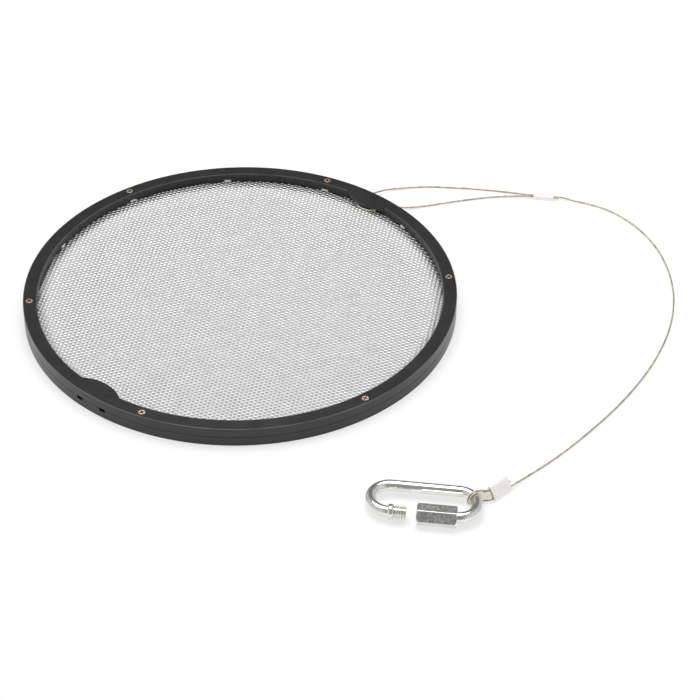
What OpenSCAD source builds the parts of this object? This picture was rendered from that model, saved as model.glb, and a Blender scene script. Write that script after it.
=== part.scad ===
// Round guard screen: a perforated sheet clamped between two plastic rings,
// with a wire rope tether that ends in an open quick link.
// Origin: centre of the ring on the surface that it lies on, +Z up.

/* [Rings] */
// Outside diameter of both rings
ring_d = 240; // [220:1:260]
// Width of the ring's section, measured along a radius
ring_w = 7.6; // [7:0.1:9]
// Height of the lower ring
lower_h = 5.6; // [5:0.1:8]
// Height of the upper ring
upper_h = 5.6; // [5.2:0.1:8]
// Bevel on the outer and inner top and bottom edges
edge_bevel = 0.2; // [0.2:0.1:0.9]
// Lead-in bevel on the lower ring's inner bottom edge
lead_in = 2; // [0.5:0.1:2.5]
// Bevel on both sides of the parting line, which shows as a fine groove
seam_bevel = 0.2; // [0.1:0.05:0.3]

/* [Perforated sheet] */
// Thickness of the sheet
sheet_t = 0.5; // [0.3:0.1:0.8]
// Width of the sheet's edge that the rings hold
sheet_lap = 2.4; // [1.5:0.1:2.6]
// Pitch of the holes, set wider than the fine perforation that it stands for
hole_pitch = 12; // [12:0.5:20]
// Diameter of a hole, the same share of the pitch as in the fine perforation
hole_d = 8.6; // [5:0.1:9.5]
// Unpierced margin between the outermost holes and the ring
sheet_margin = 1.2; // [0.5:0.1:4]
// Direction of one row of holes
row_turn = 17.5; // [0:0.5:60]

/* [Sheet tabs] */
// Width of a tab along the ring
tab_w = 4.3; // [3:0.1:6]
// Height of a tab above the sheet
tab_h = 1.4; // [1:0.1:2]
// Thickness of a tab along a radius
tab_t = 1.2; // [0.8:0.1:1.6]

/* [Screws] */
// Distance of the screws from the ring's outside
screw_inset = 3.5; // [3.2:0.1:3.6]
// Diameter of a screw's shank
screw_d = 2; // [1.6:0.1:2.2]
// Length of a screw, head included
screw_l = 9; // [8:0.1:10]
// Diameter of a countersunk head
head_d = 3.8; // [3.2:0.1:4.2]

/* [Tether lugs] */
// Direction of the lug that the tether is looped round
lug_turn = 48; // [40:1:56]
// Radius of a lug's round nose
lug_r = 24; // [18:0.5:30]
// How far a lug stands in from the ring's inner wall
lug_reach = 4.9; // [4:0.1:6]
// Thickness of a lug, flush with the top of the ring
lug_t = 2; // [1.5:0.1:2.4]
// Distance of the post's centre behind the ring's inner wall
post_set = 3.8; // [3.4:0.1:4.2]
// Width of a rope slot
slot_w = 4; // [3:0.1:5]
// Depth of a rope slot below the parting line
slot_down = 1.3; // [1.2:0.1:2]
// Height of a rope slot above the parting line
slot_up = 0.6; // [0.4:0.1:0.8]

/* [Wire rope] */
// Diameter of the wire rope
rope_d = 1; // [0.8:0.05:1.1]
// Radius of the bend round a lug's post, at the rope's centre
rope_bend = 8; // [7.5:0.1:8.5]
// Length of a rope tail that stands out of a ferrule
tail_l = 3; // [1:0.5:6]

/* [Ferrules] */
// Length of the oval ferrule beside the ring
oval_l = 12; // [8:0.5:16]
// Width of the oval ferrule
oval_w = 4; // [3.5:0.1:5]
// Height of the oval ferrule
oval_h = 3; // [2.4:0.1:3.4]
// Length of the flat ferrule beside the link
flat_l = 12; // [8:0.5:14]
// Width of the flat ferrule
flat_w = 8; // [7.2:0.1:9]
// Thickness of the flat ferrule
flat_t = 3; // [2.4:0.1:3.4]
// Depth of the open slit between the strands at the flat ferrule's mouth
slit_l = 1.5; // [0.5:0.1:3]

/* [Thimble] */
// Wall of the thimble's grooved strip
strip_t = 0.4; // [0.3:0.05:0.6]
// Length of the thimble's straight legs
thimble_leg = 3.4; // [2:0.1:4]
// Thickness of the web that fills the space between the legs
web_t = 1.2; // [0.8:0.1:1.6]

/* [Quick link] */
// Diameter of the rod
rod_d = 5.8; // [5:0.1:6.4]
// Length of the link, outside to outside
link_l = 59.6; // [56:0.1:66]
// Width of the link, outside to outside
link_w = 25.3; // [24:0.1:28]
// Diameter of the collar that stops the nut
collar_d = 8; // [7.6:0.1:9]
// Length of the collar
collar_l = 2.8; // [2.5:0.1:4]
// Diameter of the two threaded ends
thread_d = 7.2; // [6.8:0.1:7.4]
// Length of the short threaded end beyond the collar
short_thread = 6.4; // [5:0.1:7]
// Length of the long threaded end, which carries the nut
long_thread = 13.5; // [12:0.1:15]
// Width of the nut across its flats
nut_af = 10; // [9.6:0.1:11]
// Length of the nut
nut_l = 20.2; // [18:0.1:20.6]
// Gap between the short threaded end and the open nut
gate = 5.2; // [5:0.1:6]

/* [Clearances] */
// Gap round the sheet's edge in its recess
sheet_gap = 0.2; // [0.1:0.05:0.3]
// Gap round a tab in its pocket
tab_gap = 0.05; // [0.02:0.01:0.1]
// Gap round a screw's shank and head
screw_gap = 0.1; // [0.05:0.01:0.15]
// Gap between the rope and the lug's post
post_gap = 0.4; // [0.2:0.05:0.6]
// Gap between the rope and its groove in the thimble
groove_gap = 0.05; // [0.03:0.01:0.1]
// Gap between the thimble and the link's rod
eye_gap = 0.3; // [0.2:0.05:0.4]
// Running gap between the nut and the threaded ends
thread_gap = 0.05; // [0.02:0.01:0.1]

/* [Hidden] */
$fn = 96;
eps = 0.01;
tab_count = 12;
screw_count = 6;

// Rings and sheet
ring_r = ring_d / 2;
bore_r = ring_r - ring_w;
ring_h = lower_h + upper_h;
sheet_r = bore_r + sheet_lap;
sheet_top = lower_h + sheet_t;
hole_reach = bore_r - sheet_margin - hole_d / 2;
hole_rows = ceil(hole_reach / (hole_pitch * sin(60)));

// Tabs stand half of their spacing off the lug, screws a quarter of theirs
tab_step = 360 / tab_count;
tab_start = lug_turn - tab_step * 1.5;
screw_step = 360 / screw_count;
screw_start = lug_turn + screw_step / 4;
screw_r = ring_r - screw_inset;
head_h = (head_d - screw_d) / 2;
// Empty depth of a pilot hole under its screw
pilot_room = 0.5;

// Lugs, posts and rope channels: a channel's roof over the rope, its wall
// towards the outside, and how far it flattens the side of the post
lug_dirs = [lug_turn, lug_turn + 180];
lug_bevel = edge_bevel * 0.6;
lug_centre = bore_r - lug_reach + lug_r;
post_centre = bore_r + post_set;
post_r = rope_bend - rope_d / 2 - post_gap;
channel_room = 0.3;
channel_wall = 1.4;
post_flat = 1.2;
channel_top = sheet_top + rope_d + channel_room;
channel_out = ring_r - channel_wall;
channel_side = post_r - post_flat;
slot_start = sheet_r + channel_wall;

// Wire rope: facets, the height of its centre on the surface, the spacing
// of two strands in the oval ferrule and in the flat one
rope_sides = 8;
rope_r = rope_d / 2;
lift = 0.1;
laid_z = rope_r + lift;
strand_gap = 0.2;
oval_off = (rope_d + strand_gap) / 2;
flat_off = (flat_w - flat_t) / 2;
flat_tail_off = 0.3;
flat_run_off = -2.3;
lead = 2;
slit_edge = flat_off - rope_r - strand_gap;

// Oval ferrule: centre and heading
oval_turn = -9.5;
oval_at = [181, 95.5, oval_h / 2];
// Flat ferrule: centre, heading and roll out of the horizontal
flat_turn = 39.5;
flat_roll = 55;
flat_z = flat_off * sin(flat_roll) + flat_t / 2 + lift;
flat_at = [127.5, -162.7, flat_z];

// Quick link: it lies on its nut, and its rod passes through the eye
link_turn = -10.3;
eye_turn = 26.5;
rod_r = rod_d / 2;
bend_r = (link_w - rod_d) / 2;
half_l = link_l / 2 - rod_r - bend_r;
eye_r = rod_r + eye_gap + strip_t + groove_gap + rope_r;
eye_low = eye_r + rope_r + lift;
link_z = max(nut_af / 2, eye_low);
eye_at = [114.1, -170.6, link_z];
// The open nut reaches a little over the bend, and its mouth hides the thread
nut_over = 0.4;
nut_mouth = 1.1;
nut_right = half_l + nut_over;
nut_left = nut_right - nut_l;
short_end = nut_left - gate;
collar_right = short_end - short_thread;
long_start = nut_left + nut_mouth;
thread_r = thread_d / 2;
collar_bevel = 0.5;
thread_bevel = 0.6;
nut_bevel = 0.7;

// ---- vectors ----
function unit(v) = v / norm(v);
function heading(a) = [cos(a), sin(a), 0];
function across(a) = [-sin(a), cos(a), 0];

// ---- smooth route through chosen points ----
// Direction at point i: the nearer neighbour counts for more
function route_dir(p, i) =
    i == 0 ? unit(p[1] - p[0]) :
    i == len(p) - 1 ? unit(p[i] - p[i - 1]) :
    let (a = p[i] - p[i - 1], b = p[i + 1] - p[i])
    unit(a * norm(b) / norm(a) + b * norm(a) / norm(b));
// Point at fraction t of the curved stretch from point i to point i + 1
function route_at(p, i, t) =
    let (l = norm(p[i + 1] - p[i]))
    (2 * t * t * t - 3 * t * t + 1) * p[i]
    + (t * t * t - 2 * t * t + t) * l * route_dir(p, i)
    + (3 * t * t - 2 * t * t * t) * p[i + 1]
    + (t * t * t - t * t) * l * route_dir(p, i + 1);
// Rings along the route, n to each stretch
function rings(p, n) = concat(
    [for (i = [0 : len(p) - 2]) for (k = [0 : n - 1]) route_at(p, i, k / n)],
    [p[len(p) - 1]]
);

// Tube swept along points; ref is never parallel to the route
module tube(p, ref) {
    last = len(p) - 1;
    points = [for (i = [0 : last])
        let (d = route_dir(p, i), s = unit(cross(ref, d)), u = cross(d, s))
        for (k = [0 : rope_sides - 1])
        let (a = 360 * (k + 0.5) / rope_sides)
        p[i] + rope_r * (cos(a) * s + sin(a) * u)];
    function at(i, k) = i * rope_sides + k % rope_sides;
    walls = [for (i = [0 : last - 1]) for (k = [0 : rope_sides - 1]) each
        [[at(i, k), at(i + 1, k), at(i + 1, k + 1)],
         [at(i, k), at(i + 1, k + 1), at(i, k + 1)]]];
    ends = [for (k = [1 : rope_sides - 2]) each
        [[at(0, 0), at(0, k), at(0, k + 1)],
         [at(last, 0), at(last, k + 1), at(last, k)]]];
    polyhedron(points = points, faces = concat(walls, ends));
}

// ---- the tether's routes, chosen by hand ----
oval_dir = heading(oval_turn);
oval_left = oval_at - oval_dir * oval_l / 2;
oval_right = oval_at + oval_dir * oval_l / 2;
oval_side = across(oval_turn) * oval_off;
flat_dir = heading(flat_turn);
flat_up = across(flat_turn) * cos(flat_roll) + [0, 0, sin(flat_roll)];
flat_near = flat_at - flat_dir * flat_l / 2;
flat_far = flat_at + flat_dir * flat_l / 2;

// Round the post: half a turn over the sheet, then down and out of both slots
loop_gap = 0.2;
slot_back = 2.3;
slot_back_z = lower_h + 0.1;
slot_face_z = lower_h - 0.4;
post_at = heading(lug_turn) * post_centre + [0, 0, sheet_top + rope_r + loop_gap];
function post_ring(a) = post_at + rope_bend * heading(lug_turn + a);
function slot_ring(side, r, z) =
    heading(lug_turn) * r + across(lug_turn) * rope_bend * side + [0, 0, z];
function way_out(side) = [
    slot_ring(side, ring_r - slot_back, slot_back_z),
    slot_ring(side, ring_r, slot_face_z)
];
bend_steps = 8;
loop_route = concat(
    [oval_left + oval_side, oval_left + oval_side - oval_dir * lead],
    [[165, 100.5, 0.9], [150, 104.5, laid_z], [130, 108, laid_z],
     [110, 109.8, laid_z], [98, 108.8, 0.8], [88, 105.8, 1.8], [80, 100, 3.6]],
    [way_out(1)[1], way_out(1)[0]],
    [for (k = [0 : bend_steps]) post_ring(90 + 180 * k / bend_steps)],
    [way_out(-1)[0], way_out(-1)[1]],
    [[91, 86, 3.3], [98, 87.4, 1.6], [108, 89.4, 0.8], [120, 92.2, laid_z],
     [135, 95.2, laid_z], [150, 97.4, laid_z], [163, 97.5, 0.9]],
    [oval_left - oval_side - oval_dir * lead, oval_left - oval_side]
);

run_exit = flat_far + flat_up * flat_run_off;
run_route = concat(
    [oval_right + oval_side, oval_right + oval_side + oval_dir * lead],
    [[200, 91, laid_z], [215, 83, laid_z], [229, 67.5, laid_z],
     [239, 46, laid_z], [243.5, 20, laid_z], [242.5, -4, laid_z],
     [236, -31, laid_z], [223, -60, laid_z], [204, -89, laid_z],
     [180, -117, laid_z], [154, -142, laid_z], [143, -151, 0.8]],
    [run_exit + flat_dir * lead, run_exit]
);

// The eye lies in an upright plane through the rod, square to it
eye_to = flat_near - eye_at;
eye_n = across(eye_turn);
eye_x = unit(eye_to - eye_n * (eye_to * eye_n));
eye_y = cross(eye_n, -eye_x);
eye_tilt = asin(-eye_x[2]);
function eye_point(a) = eye_at + eye_r * (cos(a) * eye_x + sin(a) * eye_y);
// Angle where a strand leaves the round for the ferrule's mouth
eye_leave = atan2(flat_off, norm(eye_to)) + acos(eye_r / norm([norm(eye_to), flat_off]));
function strand_end(side) = flat_near + flat_up * flat_off * side;
function leg_dir(side) =
    eye_x * sin(eye_leave) - eye_y * side * cos(eye_leave);
function leg_end(side) = eye_point(side * eye_leave) + leg_dir(side) * thimble_leg;
eye_steps = 12;
eye_route = concat(
    [strand_end(1), strand_end(1) - flat_dir, leg_end(1)],
    [for (k = [0 : eye_steps]) eye_point(eye_leave + (360 - 2 * eye_leave) * k / eye_steps)],
    [leg_end(-1), strand_end(-1) - flat_dir, strand_end(-1)]
);

// Middle line of the thimble's web, as pairs of points on the two strands: along
// the legs, then turning with the strands to just short of the flat ferrule
web_gap = 0.4;
web_steps = 5;
function web_end(side) = strand_end(side) - flat_dir * web_gap;
web_pairs = concat(
    [[eye_point(eye_leave), eye_point(-eye_leave)]],
    [for (k = [0 : web_steps]) let (t = k / web_steps)
        [leg_end(1) * (1 - t) + web_end(1) * t, leg_end(-1) * (1 - t) + web_end(-1) * t]]
);

// ---- rings ----
module at_screws() {
    for (i = [1 : screw_count])
        rotate([0, 0, screw_start + (i - 1) * screw_step])
            translate([screw_r, 0, 0])
                children();
}

// Round nose of a lug, standing on past the top of the ring
module lug() {
    translate([lug_centre, 0, ring_h - lug_t])
        rotate_extrude()
            polygon([[0, 0], [lug_r, 0], [lug_r, lug_t - lug_bevel],
                     [lug_r - lug_bevel - 1, lug_t + 1], [0, lug_t + 1]]);
}

// Post under the lug that the rope is looped round
module post() {
    translate([post_centre, 0, lower_h - 1])
        cylinder(h = ring_h - lower_h, r = post_r);
}

// The open middle of the upper ring, around the lugs and their posts
module upper_bore() {
    difference() {
        rotate_extrude()
            polygon([[0, lower_h - 1], [bore_r + seam_bevel + 1, lower_h - 1],
                     [bore_r, lower_h + seam_bevel], [bore_r, ring_h - edge_bevel],
                     [bore_r + edge_bevel + 1, ring_h + 1], [0, ring_h + 1]]);
        for (a = lug_dirs)
            rotate([0, 0, a]) {
                lug();
                post();
            }
    }
}

// Two rope slots through the wall, on both sides of a lug
module rope_slots() {
    for (side = [-1, 1])
        translate([slot_start, side * rope_bend - slot_w / 2, lower_h - slot_down])
            cube([ring_w, slot_w, slot_down + slot_up]);
}

// Room for the rope between a slot and the post
module rope_channels() {
    for (side = [0, 1])
        mirror([0, side, 0])
            translate([bore_r - 1, channel_side, lower_h - 1])
                cube([channel_out - bore_r + 1, rope_bend + slot_w / 2 - channel_side,
                      channel_top - lower_h + 1]);
}

module tab_pocket() {
    translate([bore_r - 1, -tab_w / 2 - tab_gap, lower_h - 1])
        cube([tab_t + 1 + tab_gap, tab_w + 2 * tab_gap, sheet_t + 1 + tab_h + tab_gap]);
}

module upper_ring() {
    color("#3a3a3b")
    difference() {
        rotate_extrude()
            polygon([[0, lower_h], [ring_r - seam_bevel, lower_h],
                     [ring_r, lower_h + seam_bevel], [ring_r, ring_h - edge_bevel],
                     [ring_r - edge_bevel, ring_h], [0, ring_h]]);
        upper_bore();
        translate([0, 0, lower_h - 1])
            cylinder(h = 1 + sheet_t, r = sheet_r + sheet_gap);
        for (a = lug_dirs)
            rotate([0, 0, a]) {
                rope_slots();
                rope_channels();
            }
        for (i = [1 : tab_count])
            rotate([0, 0, tab_start + (i - 1) * tab_step])
                tab_pocket();
        at_screws() {
            cylinder(h = ring_h, r = screw_d / 2 + screw_gap);
            translate([0, 0, ring_h - head_h])
                cylinder(h = head_h + eps, r1 = screw_d / 2 + screw_gap,
                         r2 = head_d / 2 + screw_gap + eps);
        }
    }
}

module lower_ring() {
    color("#37373a")
    difference() {
        rotate_extrude()
            polygon([[bore_r + lead_in, 0], [ring_r - edge_bevel, 0],
                     [ring_r, edge_bevel], [ring_r, lower_h - seam_bevel],
                     [ring_r - seam_bevel, lower_h], [bore_r + seam_bevel, lower_h],
                     [bore_r, lower_h - seam_bevel], [bore_r, lead_in]]);
        for (a = lug_dirs)
            rotate([0, 0, a])
                rope_slots();
        at_screws()
            translate([0, 0, ring_h - screw_l - pilot_room])
                cylinder(h = ring_h, r = screw_d / 2 + screw_gap / 2);
    }
}

// ---- sheet, tabs and screws ----
module mesh_screen() {
    color("#c9cacb")
    translate([0, 0, lower_h])
        difference() {
            cylinder(h = sheet_t, r = sheet_r);
            rotate([0, 0, row_turn])
                for (row = [-hole_rows : hole_rows])
                    for (i = [-hole_rows - 2 : hole_rows + 2]) {
                        x = (i + (row % 2 == 0 ? 0 : 0.5)) * hole_pitch;
                        y = row * hole_pitch * sin(60);
                        if (norm([x, y]) <= hole_reach)
                            translate([x, y, -1])
                                cylinder(h = sheet_t + 2, d = hole_d, $fn = 32);
                    }
        }
}

module mesh_tab(i) {
    color("#d9dadb")
    rotate([0, 0, tab_start + (i - 1) * tab_step])
        translate([bore_r, -tab_w / 2, sheet_top])
            cube([tab_t, tab_w, tab_h]);
}

module frame_screw(i) {
    color("#b3925a")
    rotate([0, 0, screw_start + (i - 1) * screw_step])
        translate([screw_r, 0, ring_h - screw_l]) {
            cylinder(h = screw_l - head_h, d = screw_d);
            translate([0, 0, screw_l - head_h])
                cylinder(h = head_h, d1 = screw_d, d2 = head_d);
        }
}

// ---- tether ----
module tether_loop() {
    color("#8d857b")
    tube(rings(loop_route, 1), [0, 0, 1]);
}

module tether_run() {
    color("#8d857b")
    tube(rings(run_route, 2), [0, 0, 1]);
}

module tether_eye() {
    color("#8d857b")
    tube(rings(eye_route, 1), eye_n);
}

// Cut ends of the rope, each beside the strand that runs on
module tether_tails() {
    color("#8a7a66") {
        translate(oval_right - oval_side)
            rotate([0, 90, oval_turn])
                cylinder(h = tail_l, r = rope_r, $fn = 24);
        translate(flat_far + flat_up * flat_tail_off)
            rotate([0, 90, flat_turn])
                cylinder(h = tail_l / 2, r = rope_r, $fn = 24);
    }
}

// Flat-sided section with round edges
module oval(w, t) {
    square([w - t, t], center = true);
    for (side = [-1, 1])
        translate([side * (w - t) / 2, 0])
            circle(d = t);
}

module frame_ferrule() {
    color("#cfc9c0")
    translate(oval_left)
        rotate([90, 0, 90 + oval_turn])
            linear_extrude(oval_l)
                oval(oval_w, oval_h);
}

module link_ferrule() {
    color("#dcdcda")
    translate(flat_at)
        rotate([0, 0, flat_turn])
            rotate([flat_roll, 0, 0])
                difference() {
                    translate([-flat_l / 2, 0, 0])
                        rotate([90, 0, 90])
                            linear_extrude(flat_l)
                                oval(flat_w, flat_t);
                    translate([-flat_l / 2 - 1, -slit_edge, -rope_r])
                        cube([slit_l + 1, 2 * slit_edge, rope_d]);
                }
}

// Half-round groove that the rope lies in, open to +X
module groove_section() {
    difference() {
        circle(r = rope_r + groove_gap + strip_t, $fn = 32);
        circle(r = rope_r + groove_gap, $fn = 32);
        translate([0, -rope_d * 2])
            square([rope_d * 2, rope_d * 4]);
    }
}

// Web between the two strands, with room for the rope along both edges
module thimble_web() {
    inset = rope_r + groove_gap + strip_t * 0.75;
    last = len(web_pairs) - 1;
    middles = [for (w = web_pairs) (w[0] + w[1]) / 2];
    points = [for (i = [0 : last])
        let (up = unit(web_pairs[i][0] - web_pairs[i][1]),
             out = unit(cross(route_dir(middles, i), up)) * web_t / 2,
             high = web_pairs[i][0] - up * inset,
             low = web_pairs[i][1] + up * inset)
        each [high + out, low + out, low - out, high - out]];
    function at(i, k) = i * 4 + k % 4;
    walls = [for (i = [0 : last - 1]) for (k = [0 : 3]) each
        [[at(i, k), at(i + 1, k), at(i + 1, k + 1)],
         [at(i, k), at(i + 1, k + 1), at(i, k + 1)]]];
    ends = [[0, 1, 2], [0, 2, 3],
            [at(last, 0), at(last, 2), at(last, 1)], [at(last, 0), at(last, 3), at(last, 2)]];
    polyhedron(points = points, faces = concat(walls, ends));
}

module thimble() {
    color("#cfcbc2") {
        thimble_groove();
        difference() {
            thimble_web();
            translate(eye_at)
                rotate([0, eye_tilt, eye_turn])
                    rotate([90, 0, 0])
                        cylinder(h = 4 * web_t, r = rod_r + eye_gap, center = true);
        }
    }
}

module thimble_groove() {
    translate(eye_at)
        rotate([0, eye_tilt, eye_turn])
            rotate([90, 0, 0]) {
                rotate([0, 0, eye_leave])
                    rotate_extrude(angle = 360 - 2 * eye_leave)
                        translate([eye_r, 0])
                            groove_section();
                for (side = [-1, 1])
                    rotate([0, 0, side * eye_leave])
                        translate([eye_r, 0, 0])
                            rotate([side * 90, 0, 0])
                                linear_extrude(thimble_leg)
                                    groove_section();
            }
}

// ---- quick link ----
// Place in the link's own frame: its long axis along X
module in_link() {
    translate(eye_at)
        rotate([0, 0, link_turn])
            translate([-half_l - bend_r * cos(eye_turn - link_turn),
                       -bend_r * sin(eye_turn - link_turn), 0])
                children();
}

// Round bar along X from x0 to x1 on the line y
module bar(x0, x1, y, r, bevel0 = 0, bevel1 = 0) {
    translate([x0, y, 0])
        rotate([0, 90, 0])
            rotate_extrude()
                polygon([[0, 0], [r - bevel0, 0], [r, bevel0],
                         [r, x1 - x0 - bevel1], [r - bevel1, x1 - x0], [0, x1 - x0]]);
}

module bend(x, turn) {
    translate([x, 0, 0])
        rotate([0, 0, turn])
            rotate_extrude(angle = 180)
                translate([bend_r, 0])
                    circle(r = rod_r);
}

module link_body() {
    color("#c4c6c8")
    in_link() {
        bar(-half_l, half_l, bend_r, rod_r);
        bend(half_l, -90);
        bend(-half_l, 90);
        bar(min(-half_l, collar_right - collar_l), collar_right, -bend_r, rod_r);
        bar(collar_right - collar_l, collar_right, -bend_r, collar_d / 2,
            collar_bevel, collar_bevel);
        bar(collar_right - eps, short_end, -bend_r, thread_r, 0, thread_bevel);
        bar(long_start, long_start + long_thread, -bend_r, thread_r, thread_bevel, thread_bevel);
        bar(long_start + long_thread - eps, half_l, -bend_r, rod_r);
    }
}

module link_nut() {
    color("#b9bbbd")
    in_link()
        difference() {
            intersection() {
                translate([nut_left, -bend_r, 0])
                    rotate([0, 90, 0])
                        rotate([0, 0, 90])
                            cylinder(h = nut_l, d = nut_af / cos(30), $fn = 6);
                bar(nut_left, nut_right, -bend_r, nut_af / 2 / cos(30), nut_bevel, nut_bevel);
            }
            bar(nut_left - 1, nut_right + 1, -bend_r, thread_r + thread_gap);
        }
}

upper_ring();
lower_ring();
mesh_screen();
for (i = [1 : tab_count])
    mesh_tab(i);
for (i = [1 : screw_count])
    frame_screw(i);
tether_loop();
frame_ferrule();
tether_run();
tether_tails();
link_ferrule();
tether_eye();
thimble();
link_body();
link_nut();
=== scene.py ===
import math
from contextlib import contextmanager
import bmesh
import bpy
import numpy as np
from mathutils import Matrix, Vector


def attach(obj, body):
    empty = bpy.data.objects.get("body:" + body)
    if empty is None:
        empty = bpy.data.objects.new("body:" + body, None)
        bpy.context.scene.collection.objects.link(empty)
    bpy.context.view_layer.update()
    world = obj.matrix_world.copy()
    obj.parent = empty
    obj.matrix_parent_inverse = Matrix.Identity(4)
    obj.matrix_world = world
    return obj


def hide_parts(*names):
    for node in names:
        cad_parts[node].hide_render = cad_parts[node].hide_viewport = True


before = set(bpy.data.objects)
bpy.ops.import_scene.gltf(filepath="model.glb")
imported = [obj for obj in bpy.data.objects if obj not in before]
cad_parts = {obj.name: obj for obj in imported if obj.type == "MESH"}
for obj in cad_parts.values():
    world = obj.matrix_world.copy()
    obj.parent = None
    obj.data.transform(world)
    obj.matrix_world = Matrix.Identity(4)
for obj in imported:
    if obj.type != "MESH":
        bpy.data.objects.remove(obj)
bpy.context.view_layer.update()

# Round guard screen with its wire rope tether and open quick link.
# Shapes are in millimetres; the camera's place, the studio and the places in a finish are in metres.
mm = 0.001
scene = bpy.context.scene
scene.view_settings.view_transform = "Standard"
print("stage: frame loaded,", len(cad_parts), "nodes")

# metres, with the lens and the sensor in millimetres
camera = {
    "place": (0.0, -1.01332, 0.776794),
    "forward": (0.047002, 0.779727, -0.624353),
    "up": (0.027577, 0.623793, 0.781103),
    "lens": 117.615,
    "sensor": 36.0,
    "clip": (0.05, 20),
}


def makeCamera(c):
    data = bpy.data.cameras.new("viewCamera")
    data.lens, data.sensor_width = c["lens"], c["sensor"]
    data.clip_start, data.clip_end = c["clip"]
    cam = bpy.data.objects.new("viewCamera", data)
    scene.collection.objects.link(cam)
    forward = Vector(c["forward"]).normalized()
    right = forward.cross(Vector(c["up"])).normalized()
    up = right.cross(forward)
    turn = Matrix((right, up, -forward)).transposed().to_4x4()
    cam.matrix_world = Matrix.Translation(c["place"]) @ turn
    scene.camera = cam


makeCamera(camera)
print("stage: camera")


# small helpers for places and routes, in millimetres
def point(*p):
    return np.array(p, float)


def unit(v):
    return v / np.linalg.norm(v)


def heading(a):
    return point(math.cos(math.radians(a)), math.sin(math.radians(a)), 0)


def across(a):
    return point(-math.sin(math.radians(a)), math.cos(math.radians(a)), 0)


def routeDirections(p):
    step = np.diff(p, axis=0)
    size = np.linalg.norm(step, axis=1)[:, None]
    d = np.zeros_like(p)
    d[0], d[-1] = step[0], step[-1]
    # the nearer neighbour counts for more
    d[1:-1] = step[:-1] * size[1:] / size[:-1] + step[1:] * size[:-1] / size[1:]
    return d / np.linalg.norm(d, axis=1)[:, None]


def smoothRoute(points, step):
    p = np.array(points, float)
    d = routeDirections(p)
    line = []
    for a, b, da, db in zip(p[:-1], p[1:], d[:-1], d[1:]):
        size = np.linalg.norm(b - a)
        count = max(1, round(size / step))
        t = np.arange(count)[:, None] / count
        line.append((2 * t**3 - 3 * t**2 + 1) * a + (t**3 - 2 * t**2 + t) * size * da
                    + (3 * t**2 - 2 * t**3) * b + (t**3 - t**2) * size * db)
    return np.vstack(line + [p[-1:]])


# node trees: sums are written as sums, and every other node comes from net.node
def pick(sockets, key):
    able = [s for s in sockets if s.enabled]
    if isinstance(key, int):
        return able[key]
    return next(s for s in able if key in (s.identifier, s.name))


class Wire:
    def __init__(self, net, socket):
        self.net, self.socket = net, socket

    def also(self, name):                       # another output of the same node
        return Wire(self.net, pick(self.socket.node.outputs, name))

    def reckon(self, kind, *others):            # a Math node on this value and the others
        return self.net.reckon(kind, self, *others)

    def __add__(self, other):
        return self.net.reckon("ADD", self, other)

    def __radd__(self, other):
        return self.net.reckon("ADD", other, self)

    def __sub__(self, other):
        return self.net.reckon("SUBTRACT", self, other)

    def __rsub__(self, other):
        return self.net.reckon("SUBTRACT", other, self)

    def __mul__(self, other):
        return self.net.reckon("MULTIPLY", self, other)

    def __rmul__(self, other):
        return self.net.reckon("MULTIPLY", other, self)

    def __truediv__(self, other):
        return self.net.reckon("DIVIDE", self, other)

    def __rtruediv__(self, other):
        return self.net.reckon("DIVIDE", other, self)

    def __mod__(self, other):
        return self.net.reckon("FLOORED_MODULO", self, other)

    def __rmod__(self, other):
        return self.net.reckon("FLOORED_MODULO", other, self)

    def __gt__(self, other):
        return self.net.reckon("GREATER_THAN", self, other)

    def __lt__(self, other):
        return self.net.reckon("LESS_THAN", self, other)


class Net:
    def __init__(self, tree):
        self.tree = tree

    def node(self, kind, settings=(), inputs=(), out=0):
        made = self.tree.nodes.new(kind)
        for name, value in dict(settings).items():
            setattr(made, name, value)
        for key, value in (inputs.items() if isinstance(inputs, dict) else enumerate(inputs)):
            if isinstance(value, Wire):
                self.tree.links.new(value.socket, pick(made.inputs, key))
            else:
                pick(made.inputs, key).default_value = value
        return Wire(self, pick(made.outputs, out)) if made.outputs else None

    def reckon(self, kind, *parts):
        return self.node("ShaderNodeMath", {"operation": kind}, parts)

    def vector(self, kind, *parts, out=0):
        return self.node("ShaderNodeVectorMath", {"operation": kind}, parts, out)

    def scaled(self, vector, scale):
        return self.node("ShaderNodeVectorMath", {"operation": "SCALE"}, {"Vector": vector, "Scale": scale})

    def join(self, x, y, z):
        return self.node("ShaderNodeCombineXYZ", {}, [x, y, z])

    def split(self, vector):
        return self.node("ShaderNodeSeparateXYZ", {}, [vector])

    def blend(self, share, a, b):               # two colours
        return self.node("ShaderNodeMix", {"data_type": "RGBA"},
                         {"Factor_Float": share, "A_Color": a, "B_Color": b}, "Result_Color")

    def range(self, value, low, high, toLow=0.0, toHigh=1.0):
        ends = {"From Min": low, "From Max": high, "To Min": toLow, "To Max": toHigh}
        return self.node("ShaderNodeMapRange", {"clamp": True}, {"Value": value, **ends})

    def both(self, first, second):              # two geometries as one
        made = self.node("GeometryNodeJoinGeometry", {}, [first])
        self.tree.links.new(second.socket, made.socket.node.inputs[0])
        return made


def tone(r, g, b):                              # a colour as a screen shows it, 0 to 255
    shares = [c / 255 for c in (r, g, b)]
    return tuple(c / 12.92 if c <= 10 / 255 else ((c + 0.055) / 1.055) ** 2.4 for c in shares) + (1.0,)


# materials: each finish is a dictionary that one of the functions makes into a material
def newMaterial(name):
    material = bpy.data.materials.new(name)
    material.use_nodes = True
    material.node_tree.nodes.clear()
    net = Net(material.node_tree)
    return material, net, net.node("ShaderNodeTexCoord", out="Object")


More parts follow.
